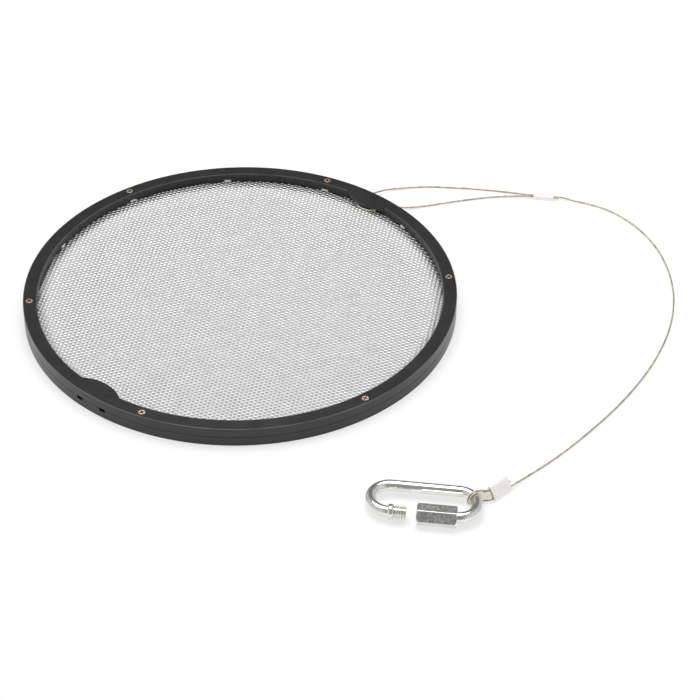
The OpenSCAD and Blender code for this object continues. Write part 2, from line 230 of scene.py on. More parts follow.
def noise(net, place, scale, detail, rough, stretch=(1, 1, 1), turn=(0, 0, 0)):
    at = net.node("ShaderNodeMapping", {}, {"Vector": place, "Rotation": turn, "Scale": stretch})
    return net.node("ShaderNodeTexNoise", {},
                    {"Vector": at, "Scale": scale, "Detail": detail, "Roughness": rough}, "Fac")


def bump(net, height, strength, distance):
    return net.node("ShaderNodeBump", {},
                    {"Height": height, "Strength": strength, "Distance": distance}, "Normal")


def shader(net, **sockets):
    named = {k.replace("_", " "): v for k, v in sockets.items()}
    surface = net.node("ShaderNodeBsdfPrincipled", {}, named)
    net.node("ShaderNodeOutputMaterial", {}, {"Surface": surface})


# black plastic, with a painted highlight on its two upper edges; an edge's two numbers are where that
# highlight starts and where it is full
ringFinish = {
    # the third tone is the painted highlight of the two upper edges
    "dark": tone(25, 25, 26), "pale": tone(46, 46, 47), "paintedEdgeHighlight": tone(112, 112, 111),
    "grain": 1500, "relief": 0.25, "depth": 0.00004,
    "scuff": 60, "rub": 300, "rubFrom": (0.55, 0.75), "rubStretch": (1, 1, 3), "rubShare": 0.3,
    "rough": (0.26, 0.4), "roughFrom": (0.3, 0.9), "rubRough": 0.2,
    "outerEdge": (0.11955, 0.11985), "innerEdge": (0.11305, 0.11265), "topEdge": (0.01085, 0.01105),
    "innerHighlightShare": 0.45, "patchFrom": (0.3, 0.6), "patchShare": (0.5, 1.0),
    "lugAcross": (-0.7431, 0.6691, 0), "lugHalf": (0.0134, 0.0146),
}


def makeRingPlastic(f):
    material, net, place = newMaterial("ringPlastic")
    grain = noise(net, place, f["grain"], detail=2, rough=0.5)
    cloud = noise(net, place, f["scuff"], detail=4, rough=0.6)
    rub = net.range(noise(net, place, f["rub"], detail=5, rough=0.7, stretch=f["rubStretch"]), *f["rubFrom"])
    plain = net.blend(cloud * (1 - f["rubShare"]) + rub * f["rubShare"], f["dark"], f["pale"])
    # painted highlight: the two upper edges are paler, but not at the lugs' inner ends
    apart = net.split(place)
    away = net.vector("LENGTH", net.join(apart.also("X"), apart.also("Y"), 0.0), out="Value")
    beside = net.vector("DOT_PRODUCT", place, f["lugAcross"], out="Value").reckon("ABSOLUTE")
    inner = net.range(away, *f["innerEdge"]) * net.range(beside, *f["lugHalf"]) * f["innerHighlightShare"]
    edges = (net.range(away, *f["outerEdge"]) + inner) * net.range(apart.also("Z"), *f["topEdge"])
    paintedEdgeHighlight = edges * net.range(cloud, *f["patchFrom"], *f["patchShare"])
    shader(net, Base_Color=net.blend(paintedEdgeHighlight, plain, f["paintedEdgeHighlight"]),
           Roughness=net.range(cloud + rub * f["rubRough"], *f["roughFrom"], *f["rough"]),
           Normal=bump(net, grain, f["relief"], f["depth"]))
    return material


# what holds for every metal, where its own finish says nothing else
# cloud and streak say how fine its patches and its drawn grain are
anyMetal = {
    "metallic": 1.0, "stretch": (1, 1, 1), "turn": (0, 0, 0), "relief": 0.2, "depth": 0.00003,
    "streakShare": 0.4, "colourFrom": (0.3, 0.7), "roughFrom": (0.25, 0.75),
}


def makeMetal(name, finish):
    f = {**anyMetal, **finish}
    material, net, place = newMaterial(name)
    cloud = noise(net, place, f["cloud"], detail=4, rough=0.6)
    streak = noise(net, place, f["streak"], detail=3, rough=0.6, stretch=f["stretch"], turn=f["turn"])
    mixed = cloud * (1 - f["streakShare"]) + streak * f["streakShare"]
    colour = net.blend(net.range(mixed, *f["colourFrom"]), f["dark"], f["pale"])
    if "recessShade" in f:                             # painted shade in a recess, full at one height, gone at the next
        height = net.split(place).also("Z")
        colour = net.blend(net.range(height, *f["recessShadeHeight"]), f["recessShade"], colour)
    if "other" in f:                            # painted light: another tone near a place, or away from one, by its reach
        away = net.vector("DISTANCE", place, f["otherPlace"], out="Value")
        colour = net.blend(net.range(away, *f["otherReach"]), f["other"], colour)
    shader(net, Base_Color=colour, Metallic=f["metallic"],
           Roughness=net.range(mixed, *f["roughFrom"], *f["rough"]),
           Normal=bump(net, mixed, f["relief"], f["depth"]))
    return material


screenFinish = {                                # painted reflection: darker beside the ring, standing in for the black wall mirrored in the sheet
    "dark": tone(240, 240, 241), "pale": tone(254, 254, 254), "metallic": 0.65, "rough": (0.27, 0.34),
    "cloud": 120, "streak": 1600, "stretch": (0.1, 1, 1), "turn": (0, 0, math.radians(-17.5)), "relief": 0.1,
    # the other tone is the painted reflection of the ring's black wall
    "other": tone(112, 112, 114), "otherPlace": (0, 0, 0.006), "otherReach": (0.1124, 0.1064),
}
holeFinish = {
    "dark": tone(238, 238, 237), "pale": tone(253, 253, 252), "metallic": 0.8, "rough": (0.2, 0.35),
    "cloud": 300, "streak": 2400,
}
tabFinish = {
    "dark": tone(248, 248, 248), "pale": tone(255, 255, 255), "metallic": 0.0, "rough": (0.25, 0.35),
    "cloud": 300, "streak": 2400,
}
brassFinish = {
    "dark": tone(214, 182, 158), "pale": tone(255, 240, 226), "rough": (0.3, 0.42),
    # painted shade: the head is darker below its top, in the cross recess
    "cloud": 900, "streak": 2300, "recessShade": tone(44, 34, 30), "recessShadeHeight": (0.01096, 0.01117),
}
ropeFinish = {                                  # painted highlight: paler in the bend behind the post, where light falls on it
    "dark": tone(140, 130, 112), "pale": tone(226, 216, 196), "metallic": 0.7, "rough": (0.26, 0.42),
    "cloud": 260, "streak": 2600,
    # the other tone is the painted highlight on the bend behind the post
    "other": tone(255, 248, 232), "otherPlace": (0.0724, 0.0804, 0.0068), "otherReach": (0.0105, 0.0125),
}
ferruleFinish = {
    "dark": tone(246, 242, 236), "pale": tone(255, 254, 251), "metallic": 0.2, "rough": (0.25, 0.4),
    "cloud": 300, "streak": 1800, "relief": 0.35,
}
thimbleFinish = {
    "dark": tone(228, 223, 213), "pale": tone(255, 250, 241), "metallic": 0.25, "rough": (0.3, 0.45),
    "cloud": 500, "streak": 2400, "relief": 0.4,
}
zincFinish = {
    "dark": tone(208, 208, 203), "pale": tone(250, 250, 245), "rough": (0.06, 0.16),
    "cloud": 170, "streak": 1500, "relief": 0.22,
}
facetFinish = {
    "dark": tone(172, 174, 172), "pale": tone(244, 245, 241), "rough": (0.15, 0.22),
    "mottle": 800, "mottleFrom": (0.36, 0.64), "patch": 200, "patchFrom": (0.35, 0.65), "patchShare": 0.35,
    # the edge tone serves the flats' borders and the painted highlight of the lower half
    "edge": tone(248, 248, 243), "edgeRough": 0.12, "relief": 0.3, "depth": 0.00003,
}


def makeFacetZinc(f):
    # the nut's flats are dull and mottled, and bright where its attribute says so: on the flats' borders and
    # end faces, and as a painted highlight over the lower half
    material, net, place = newMaterial("facetZinc")
    rim = net.node("ShaderNodeAttribute", {"attribute_name": "rim"}, out="Fac")
    mottle = net.range(noise(net, place, f["mottle"], detail=5, rough=0.65), *f["mottleFrom"])
    patch = net.range(noise(net, place, f["patch"], detail=3, rough=0.5), *f["patchFrom"])
    mixed = mottle * (1 - f["patchShare"]) + patch * f["patchShare"]
    flatRough = net.range(mixed, 0.0, 1.0, *f["rough"])
    shader(net, Base_Color=net.blend(rim, net.blend(mixed, f["dark"], f["pale"]), f["edge"]), Metallic=1.0,
           Roughness=flatRough + rim * (f["edgeRough"] - flatRough),
           Normal=bump(net, mixed * (1 - rim), f["relief"], f["depth"]))
    return material


ringPlastic = makeRingPlastic(ringFinish)
screenMetal = makeMetal("screenMetal", screenFinish)
holeMetal = makeMetal("holeMetal", holeFinish)
tabMetal = makeMetal("tabMetal", tabFinish)
screwBrass = makeMetal("screwBrass", brassFinish)
ropeSteel = makeMetal("ropeSteel", ropeFinish)
ferruleMetal = makeMetal("ferruleMetal", ferruleFinish)
thimbleMetal = makeMetal("thimbleMetal", thimbleFinish)
linkZinc = makeMetal("linkZinc", zincFinish)
facetZinc = makeFacetZinc(facetFinish)
print("stage: materials")


# geometry nodes: a tree with named inputs, run once on a mesh
def newTree(name, inputs):
    tree = bpy.data.node_groups.new(name, "GeometryNodeTree")
    tree.interface.new_socket(name="Geometry", in_out="INPUT", socket_type="NodeSocketGeometry")
    for label, kind in inputs.items():
        tree.interface.new_socket(name=label, in_out="INPUT", socket_type="NodeSocket" + kind)
    tree.interface.new_socket(name="Geometry", in_out="OUTPUT", socket_type="NodeSocketGeometry")
    net = Net(tree)
    return tree, net, net.node("NodeGroupInput")


def closeTree(net, geometry, material, upright=None):
    # upright is another material, for the faces that stand upright
    plain = net.node("GeometryNodeRealizeInstances", {}, [geometry])
    painted = net.node("GeometryNodeSetMaterial", {}, {"Geometry": plain, "Material": material})
    if upright:
        facing = net.split(net.node("GeometryNodeInputNormal", out="Normal")).also("Z")
        steep = facing.reckon("ABSOLUTE") < 0.5           # it leans less than 30 degrees
        painted = net.node("GeometryNodeSetMaterial", {},
                           {"Geometry": painted, "Selection": steep, "Material": upright})
    net.node("NodeGroupOutput", {}, [painted])


def newObject(name, points=(), edges=(), faces=()):
    mesh = bpy.data.meshes.new(name)
    mesh.from_pydata([tuple(p) for p in points], [tuple(e) for e in edges], [tuple(f) for f in faces])
    made = bpy.data.objects.new(name, mesh)
    scene.collection.objects.link(made)
    return made


def applyModifiers(made):
    bpy.context.view_layer.update()
    result = bpy.data.meshes.new_from_object(made.evaluated_get(bpy.context.evaluated_depsgraph_get()))
    made.modifiers.clear()
    made.data = result
    result.name = made.name


def runTree(made, tree, values):
    step = made.modifiers.new(tree.name, "NODES")
    step.node_group = tree
    for item in tree.interface.items_tree:
        if item.in_out == "INPUT" and item.name in values:
            step[item.identifier] = values[item.name]
    applyModifiers(made)
    return made


@contextmanager
def meshWork(made):                             # the object's mesh, open for changes until the block ends
    work = bmesh.new()
    work.from_mesh(made.data)
    yield work
    work.to_mesh(made.data)
    work.free()


def smoothBelow(made, degrees):
    # smooth shading, with sharp edges where faces meet at more than that
    with meshWork(made) as work:
        for face in work.faces:
            face.smooth = True
        for edge in work.edges:
            edge.smooth = not edge.is_manifold or edge.calc_face_angle(0) < math.radians(degrees)


def paint(made, material):
    made.data.materials.clear()
    made.data.materials.append(material)


def finishPiece(made, body, slot, *nodes, material=None, sharp=None):
    if material:
        paint(made, material)
    if sharp is not None:
        smoothBelow(made, sharp)
    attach(made, body)
    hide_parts(*nodes)
    return made


# wire rope: two cords that both start behind the lug's post
# first the place, turn and size of everything that the rope passes
post = {"turn": 48, "radius": 116.2, "height": 6.8, "bend": 8, "bendSteps": 4, "wall": 120,
        "slotBack": 2.3, "slotBackHeight": 5.7, "slotFaceHeight": 5.2}
oval = {"turn": -9.5, "place": point(181, 95.5, 1.5), "length": 12, "width": 4, "height": 3,
        "strand": 0.6, "tail": 3}
flat = {"turn": 39.5, "roll": 55, "place": point(127.5, -162.7, 3.648),
        "length": 12, "width": 7.7, "height": 3, "slitDepth": 1.5, "slitHalf": 3.2,
        "strand": 2.5, "lead": 1, "tailOffset": 0.3, "tail": 1.5, "runOffset": -2.3}
eye = {"place": point(114.1, -170.6, 5), "turn": 26.5, "radius": 4.15, "leg": 3.4, "steps": 12}
rope = {"diameter": 1.0, "strands": 6, "strand": 0.35, "core": 0.36, "lay": 6.4, "sides": 6, "step": 0.55,
        "lead": 2, "lowest": 0.505, "length": 514, "returnLength": 124}

ovalDir = heading(oval["turn"])
ovalSide = across(oval["turn"]) * oval["strand"]
ovalLeft = oval["place"] - ovalDir * oval["length"] / 2
ovalRight = oval["place"] + ovalDir * oval["length"] / 2
flatDir = heading(flat["turn"])
flatRoll = math.radians(flat["roll"])
flatUp = across(flat["turn"]) * math.cos(flatRoll) + point(0, 0, math.sin(flatRoll))
flatNear = flat["place"] - flatDir * flat["length"] / 2
flatFar = flat["place"] + flatDir * flat["length"] / 2


def postPoint(a):
    middle = heading(post["turn"]) * post["radius"] + point(0, 0, post["height"])
    return middle + post["bend"] * heading(post["turn"] + a)


def slotPoint(side, back, height):
    out, beside = post["wall"] - back, post["bend"] * side
    return heading(post["turn"]) * out + across(post["turn"]) * beside + point(0, 0, height)


def wayOut(side):                               # from behind the post through one of the two slots
    steps = post["bendSteps"]
    around = [postPoint(180 - side * 90 * k / steps) for k in range(steps + 1)]
    inside = slotPoint(side, post["slotBack"], post["slotBackHeight"])
    return around + [inside, slotPoint(side, 0, post["slotFaceHeight"])]


def throughOval(side, beyond):
    near, far = ovalLeft + ovalSide * side, ovalRight + ovalSide * side
    return [near - ovalDir * rope["lead"], near, far, far + ovalDir * beyond]


# the eye's own axes, and the angle at which a strand leaves its round for the ferrule
eyeTo = flatNear - eye["place"]
eyeNormal = across(eye["turn"])
eyeAlong = unit(eyeTo - eyeNormal * (eyeTo @ eyeNormal))
eyeUp = np.cross(eyeNormal, -eyeAlong)
eyeFar = np.linalg.norm(eyeTo)
eyeLeave = math.atan2(flat["strand"], eyeFar) + math.acos(eye["radius"] / math.hypot(eyeFar, flat["strand"]))


def eyePoint(a):
    return eye["place"] + eye["radius"] * (math.cos(a) * eyeAlong + math.sin(a) * eyeUp)


def eyeLeg(side):                               # a point on the straight leg beside the eye
    along = eyeAlong * math.sin(eyeLeave) - eyeUp * side * math.cos(eyeLeave)
    return eyePoint(side * eyeLeave) + along * eye["leg"]


def intoFlat(side):                             # a strand's last stretch between the eye and the flat ferrule
    end = flatNear + flatUp * flat["strand"] * side
    return [end - flatDir * flat["lead"], end]


upperLeg = [(80, 100, 3.6), (88, 105.8, 1.8), (98, 108.8, 0.8), (110, 109.8, 0.6), (130, 108, 0.6),
            (150, 104.5, 0.6), (165, 100.5, 0.9)]
lowerLeg = [(91, 86, 3.3), (98, 87.4, 1.6), (108, 89.4, 0.8), (120, 92.2, 0.6), (135, 95.2, 0.6),
            (150, 97.4, 0.6), (163, 97.5, 0.9)]
longRun = [(200, 91, 0.6), (215, 83, 0.6), (229, 67.5, 0.6), (238.9, 46, 0.6), (243.33, 20, 0.6),
           (242.4, -4, 0.6), (236, -31, 0.6), (223, -60, 0.6), (204, -89, 0.6), (180, -117, 0.6),
           (154, -142, 0.6), (143, -151, 0.8)]
runExit = flatFar + flatUp * flat["runOffset"]
tailExit = flatFar + flatUp * flat["tailOffset"]
eyeTurn = 2 * math.pi - 2 * eyeLeave
eyeArc = [eyePoint(eyeLeave + eyeTurn * k / eye["steps"]) for k in range(eye["steps"], -1, -1)]
mainRoute = (wayOut(1) + upperLeg + throughOval(1, rope["lead"]) + longRun
             + [runExit + flatDir * rope["lead"], runExit] + intoFlat(-1)[::-1]
             + [eyeLeg(-1)] + eyeArc + [eyeLeg(1)]
             + intoFlat(1) + [tailExit, tailExit + flatDir * flat["tail"]])
returnRoute = wayOut(-1) + lowerLeg + throughOval(-1, oval["tail"])


def makeStrandTree():
    tree, net, given = newTree("layStrands", {
        "Strands": "Int", "Lay": "Float", "Offset": "Float", "Strand Radius": "Float", "Core Radius": "Float",
        "Sides": "Int", "Material": "Material"})
    line = net.node("GeometryNodeMeshToCurve", {}, [given.also("Geometry")])
    copies = net.node("GeometryNodeDuplicateElements", {"domain": "SPLINE"},
                      {"Geometry": line, "Amount": given.also("Strands")})
    along = net.node("GeometryNodeSplineParameter", out="Length")
    start = copies.also("Duplicate Index") / given.also("Strands") * math.tau
    angle = start + along / given.also("Lay") * math.tau
    normal = net.node("GeometryNodeInputNormal", out="Normal")
    side = net.vector("CROSS_PRODUCT", net.node("GeometryNodeInputTangent", out="Tangent"), normal)
    shift = net.vector("ADD", net.scaled(normal, angle.reckon("COSINE") * given.also("Offset")),
                       net.scaled(side, angle.reckon("SINE") * given.also("Offset")))
    laid = net.node("GeometryNodeSetPosition", {}, {"Geometry": copies, "Offset": shift})

    def sweep(curve, radius):
        ring = net.node("GeometryNodeCurvePrimitiveCircle", {},
                        {"Resolution": given.also("Sides"), "Radius": radius})
        return net.node("GeometryNodeCurveToMesh", {},
                        {"Curve": curve, "Profile Curve": ring, "Fill Caps": True})

    strands, core = sweep(laid, given.also("Strand Radius")), sweep(line, given.also("Core Radius"))
    closeTree(net, net.both(strands, core), given.also("Material"))
    return tree


strandTree = makeStrandTree()


def makeRope(name, route, nodes):
    line = smoothRoute(route, rope["step"]) * mm
    line[:, 2] = np.maximum(line[:, 2], rope["lowest"] * mm)                  # it never dips into the floor
    made = newObject(name, line, edges=[(i, i + 1) for i in range(len(line) - 1)])
    runTree(made, strandTree, {
        "Strands": rope["strands"], "Lay": rope["lay"] * mm, "Sides": rope["sides"], "Material": ropeSteel,
        "Offset": (rope["diameter"] - rope["strand"]) / 2 * mm,
        "Strand Radius": rope["strand"] / 2 * mm, "Core Radius": rope["core"] / 2 * mm})
    finishPiece(made, "frame", "rope_steel", *nodes, sharp=60)
    size = np.linalg.norm(np.diff(line, axis=0), axis=1).sum()
    print("stage:", name, "is", round(size / mm, 1), "mm long,", len(made.data.polygons), "faces")


# closed meshes from rings of points
def loft(name, rings, caps=True):
    count, sides = len(rings), len(rings[0])
    faces = []
    for i in range(count - 1):
        for k in range(sides):
            n = (k + 1) % sides
            faces.append((i * sides + k, i * sides + n, (i + 1) * sides + n, (i + 1) * sides + k))
    if caps:
        faces.append(tuple(range(sides))[::-1])
        faces.append(tuple((count - 1) * sides + k for k in range(sides)))
    made = newObject(name, np.vstack(rings) * mm, faces=faces)
    with meshWork(made) as work:
        bmesh.ops.recalc_face_normals(work, faces=work.faces)
    return made


def joined(name, parts):
    made = newObject(name)
    with meshWork(made) as work:
        for part in parts:
            work.from_mesh(part.data)
            bpy.data.objects.remove(part)
    return made


# ferrules: a crimp is a row of places along the sleeve, each with its share of the depth
# a round end is a row of places from the end, each with how much lower it is, in shares of the ferrule's edge
crimpShape = ((-1.5, 0), (-0.9, 0.7), (-0.35, 1), (0.35, 1), (0.9, 0.7), (1.5, 0))
crimpSpread = 0.25
roundEnd = ((0, 1.2), (0.35, 0.35), (1.2, 0))


def crimpedProfile(length, edge, crimps, press):
    # rings along the sleeve: place, share of its width, share of its thickness
    rows = []
    for inwards, lower in roundEnd:
        share = 1 - edge * lower
        rows.append((-length / 2 + edge * inwards, 0.5 + share / 2, share))
    otherEnd = [(-at, w, h) for at, w, h in rows[::-1]]
    for mid in crimps:
        for shift, depth in crimpShape:
            spread = press * crimpSpread
            rows.append((mid + shift, 1 + spread * depth - spread, 1 - press * depth))
    return rows + otherEnd


def sleeveSection(half, thick, count, power):
    # a flat-sided outline with round ends; power over 2 makes its corners fuller
    a = np.arange(count) * math.tau / count
    c, s = np.cos(a), np.sin(a)
    return np.stack([np.sign(c) * np.abs(c) ** (2 / power) * half,
                     np.sign(s) * np.abs(s) ** (2 / power) * thick], axis=1)


def makeSleeve(centre, along, wide, high, sleeve):
    rings = []
    for at, w, h in sleeve["profile"]:
        half, thick = sleeve["width"] / 2 * w, sleeve["height"] / 2 * h
        outline = sleeveSection(half, thick, sleeve["sides"], sleeve["power"])
        rings.append(centre + along * at + outline[:, :1] * wide + outline[:, 1:] * high)
    return rings


def finishFerrule(name, rings, node):
    return finishPiece(loft(name, rings), "frame", "ferrule_metal", node, material=ferruleMetal, sharp=50)


ovalSleeve = {"width": oval["width"], "height": oval["height"], "sides": 40, "power": 2.3,
              "profile": crimpedProfile(oval["length"], edge=0.3, crimps=(-3.3, 0.0, 3.3), press=0.1)}
flatSleeve = {"width": flat["width"], "height": flat["height"], "sides": 64, "power": 5, "slitPower": 4,
              "profile": crimpedProfile(flat["length"], edge=0.07, crimps=(-2.2, 2.6), press=0.07)}


def makeOvalFerrule():
    rings = makeSleeve(oval["place"], ovalDir, across(oval["turn"]), point(0, 0, 1), ovalSleeve)
    return finishFerrule("ovalFerrule", rings, "frame_ferrule")


def makeFlatFerrule():
    high = np.cross(flatDir, flatUp)
    rings = makeSleeve(flat["place"], flatDir, flatUp, high, flatSleeve)
    slit = sleeveSection(flat["slitHalf"], rope["diameter"] / 2, flatSleeve["sides"], flatSleeve["slitPower"])
    mouth = [flatNear + flatDir * deep + slit[:, :1] * flatUp + slit[:, 1:] * high
             for deep in (flat["slitDepth"], 0)]
    return finishFerrule("flatFerrule", mouth + rings, "link_ferrule")


ovalFerrule = makeOvalFerrule()
flatFerrule = makeFlatFerrule()
print("stage: ferrules")


# quick link, in its own frame: x along it, its eye to the right, the nut's side at y = -bend
link = {"turn": -10.3, "rod": 2.9, "bend": 9.75, "half": 17.15, "bendSteps": 32, "straightSteps": 11,
        "collar": 4.0, "collarFrom": -17.05, "collarTo": -14.25,
        "collarEdge": ((0, 0.5), (0.15, 0.22), (0.5, 0)),
        "shortEnd": -7.85, "longFrom": -1.55, "longTo": 11.95, "sunk": 1, "threadGap": 0.02,
        "crest": 3.6, "pitch": 1.35, "pitchSteps": 16, "thread": 1.0, "threadPower": 1.2, "endBevel": 0.6,
        "sides": 48, "rodSides": 40}
nut = {"left": -2.65, "right": 17.55, "flats": 10.0, "corner": 0.03, "bore": 3.65, "boreLead": 0.4,
       "bevel": 0.7, "bevelSteps": 6, "flatSteps": 9, "sides": 144, "weld": 0.002,
       # the last two numbers set a painted highlight on the lower half, and the height below which it lies
       "rim": 0.14, "endFace": 0.02, "paintedLowerLight": 0.6, "paintedLowerBelow": -0.1}
linkX, linkY = heading(link["turn"]), across(link["turn"])
linkTilt = math.radians(eye["turn"] - link["turn"])
linkOrigin = (eye["place"] - linkX * (link["half"] + link["bend"] * math.cos(linkTilt))
              - linkY * link["bend"] * math.sin(linkTilt))


def inLink(x, y, z):
    outer = np.multiply.outer
    return linkOrigin + outer(x, linkX) + outer(y, linkY) + outer(z, point(0, 0, 1))


def barRing(x, radii, count):
    a = np.arange(count) * math.tau / count
    return inLink(np.full(count, x), -link["bend"] + np.cos(a) * radii, np.sin(a) * radii)


def threadRadius(x, bevelFrom, bevelTo):
    # a rounded helical ridge, cut down to a bevel towards either end
    a = np.arange(link["sides"]) / link["sides"]
    wave = np.abs(((x / link["pitch"] - a) % 1) - 0.5) * 2
    ridge = link["crest"] - link["thread"] * (1 - wave * wave * (3 - 2 * wave)) ** link["threadPower"]
    limit = link["crest"] - link["endBevel"] + min(max(0, x - bevelFrom), max(0, bevelTo - x))
    return np.minimum(ridge, limit)


def threadRings(start, end, bevelFrom):
    steps = int(round((end - start) / link["pitch"] * link["pitchSteps"]))
    places = np.linspace(start, end, steps + 1)
    return [barRing(x, threadRadius(x, bevelFrom, end), link["sides"]) for x in places]


def rodPath():
    # places and headings, sunk into the collar at one end and into the long thread at the other
    half, r, sunk = link["half"], link["bend"], link["sunk"]

    def bend(middle, first):
        turns = np.radians(np.linspace(first, first - 180, link["bendSteps"] + 1))
        return [(middle + r * math.cos(a), r * math.sin(a), a + math.pi / 2 + math.pi) for a in turns]

    straight = [(x, r, 0.0) for x in np.linspace(-half, half, link["straightSteps"] + 1)[1:-1]]
    return ([(link["collarTo"] - sunk, -r, math.pi)] + bend(-half, 270) + straight + bend(half, 90)
            + [(link["longTo"] - sunk, -r, math.pi)])


def makeRod():
    around = np.arange(link["rodSides"]) * math.tau / link["rodSides"]
    flatwise, upwards = np.cos(around), np.sin(around)
    rings = []
    for x, y, a in rodPath():
        side = (-math.sin(a), math.cos(a))
        rings.append(inLink(x + flatwise * side[0] * link["rod"], y + flatwise * side[1] * link["rod"],
                            upwards * link["rod"]))
    return loft("rod", rings)


def makeCollar():                               # one closed solid with the short thread
    edge, n = link["collarEdge"], link["sides"]
    collar = [(link["collarFrom"] + inwards, link["collar"] - lower) for inwards, lower in edge]
    collar += [(link["collarTo"] - inwards, link["collar"] - lower) for inwards, lower in edge[::-1]]
    rings = [barRing(x, np.full(n, radius), n) for x, radius in collar]
    thread = threadRings(link["collarTo"] + link["threadGap"], link["shortEnd"], bevelFrom=-math.inf)
    return loft("collarAndShortThread", rings + thread)


def makeLinkBody():
    longThread = loft("longThread", threadRings(link["longFrom"], link["longTo"], bevelFrom=link["longFrom"]))
    made = joined("linkBody", [makeRod(), makeCollar(), longThread])
    return finishPiece(made, "link", "link_zinc", "link_body", material=linkZinc, sharp=40)


hexHalf, hexCorner = nut["flats"] / 2, nut["flats"] / 2 / math.cos(math.pi / 6)


def hexFold(a):                                 # an angle counted from the middle of the flat that it meets
    return (a % (math.pi / 3)) - math.pi / 6


def nutRings():
    count = nut["sides"]
    outline = hexHalf / np.cos(hexFold(np.arange(count) * math.tau / count))
    outline = np.minimum(outline, hexCorner - nut["corner"])
    steps = np.linspace(0, nut["bevel"], nut["bevelSteps"] + 1)
    bevel = [(step, np.minimum(outline, hexCorner - nut["bevel"] + step)) for step in steps]
    flats = np.linspace(nut["left"] + nut["bevel"], nut["right"] - nut["bevel"], nut["flatSteps"] + 1)[1:-1]
    lead = nut["boreLead"]
    bore = [(nut["right"], nut["bore"] + lead), (nut["right"] - lead, nut["bore"]),
            (nut["left"] + lead, nut["bore"]), (nut["left"], nut["bore"] + lead)]
    rings = [(nut["left"] + step, radii) for step, radii in bevel] + [(x, outline) for x in flats]
    rings += [(nut["right"] - step, radii) for step, radii in bevel[::-1]]
    rings += [(x, np.full(count, radius)) for x, radius in bore]
    return [barRing(x, radii, count) for x, radii in rings + rings[:1]]       # the last ring closes the solid


def borderAndLowerLightShare(points):
    # 1 on a flat's border and on the end faces, 0 well inside a flat
    # in the nut's lower half it is never less than a painted highlight, which stands in for the bright
    # floor's reflection
    place = points / mm - linkOrigin
    x, y, z = place @ linkX, place @ linkY + link["bend"], place[:, 2]
    fold = hexFold(np.arctan2(z, y))
    beside = hexHalf * (math.tan(math.pi / 6) - np.abs(np.tan(fold)))
    cut = np.maximum(0, hexHalf / np.cos(fold) - hexCorner + nut["bevel"])
    ends = np.minimum(x - nut["left"], nut["right"] - x) - cut
    share = np.clip(1 - np.minimum(beside, ends) / nut["rim"], 0, 1)
    share[np.hypot(y, z) < hexHalf - nut["endFace"]] = 1
    under = z < nut["paintedLowerBelow"]
    share[under] = np.maximum(share[under], nut["paintedLowerLight"])
    return share.astype(np.float32)


def makeLinkNut():
    made = loft("linkNut", nutRings(), caps=False)
    with meshWork(made) as work:
        bmesh.ops.remove_doubles(work, verts=work.verts, dist=nut["weld"] * mm)
        bmesh.ops.recalc_face_normals(work, faces=work.faces)
    share = borderAndLowerLightShare(np.array([v.co for v in made.data.vertices]))
    made.data.attributes.new("rim", "FLOAT", "POINT").data.foreach_set("value", share)
    return finishPiece(made, "nut", "link_zinc", "link_nut", material=facetZinc, sharp=25)


linkBody = makeLinkBody()
linkNut = makeLinkNut()
print("stage: quick link,", len(linkBody.data.polygons) + len(linkNut.data.polygons), "faces")

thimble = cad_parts["thimble"]
paint(thimble, thimbleMetal)

makeRope("tetherRope", mainRoute, ("tether_loop", "tether_run", "tether_eye", "tether_tails"))
makeRope("tetherReturn", returnRoute, ("tether_loop", "tether_tails"))


# perforated sheet, in four quarters: six-sided cells, each with a hole
# aside moves the quarters' borders off the holes' middles, so that each hole is in one quarter only
sheet = {"pitch": 2.5, "hole": 1.82, "thickness": 0.5, "radius": 114.8, "turn": 17.5, "height": 5.6,
         "lip": 0.21, "lipDepth": 0.11, "sides": 12, "weld": 0.02, "edgeWeld": 0.01, "aside": (0.013, 0.017)}


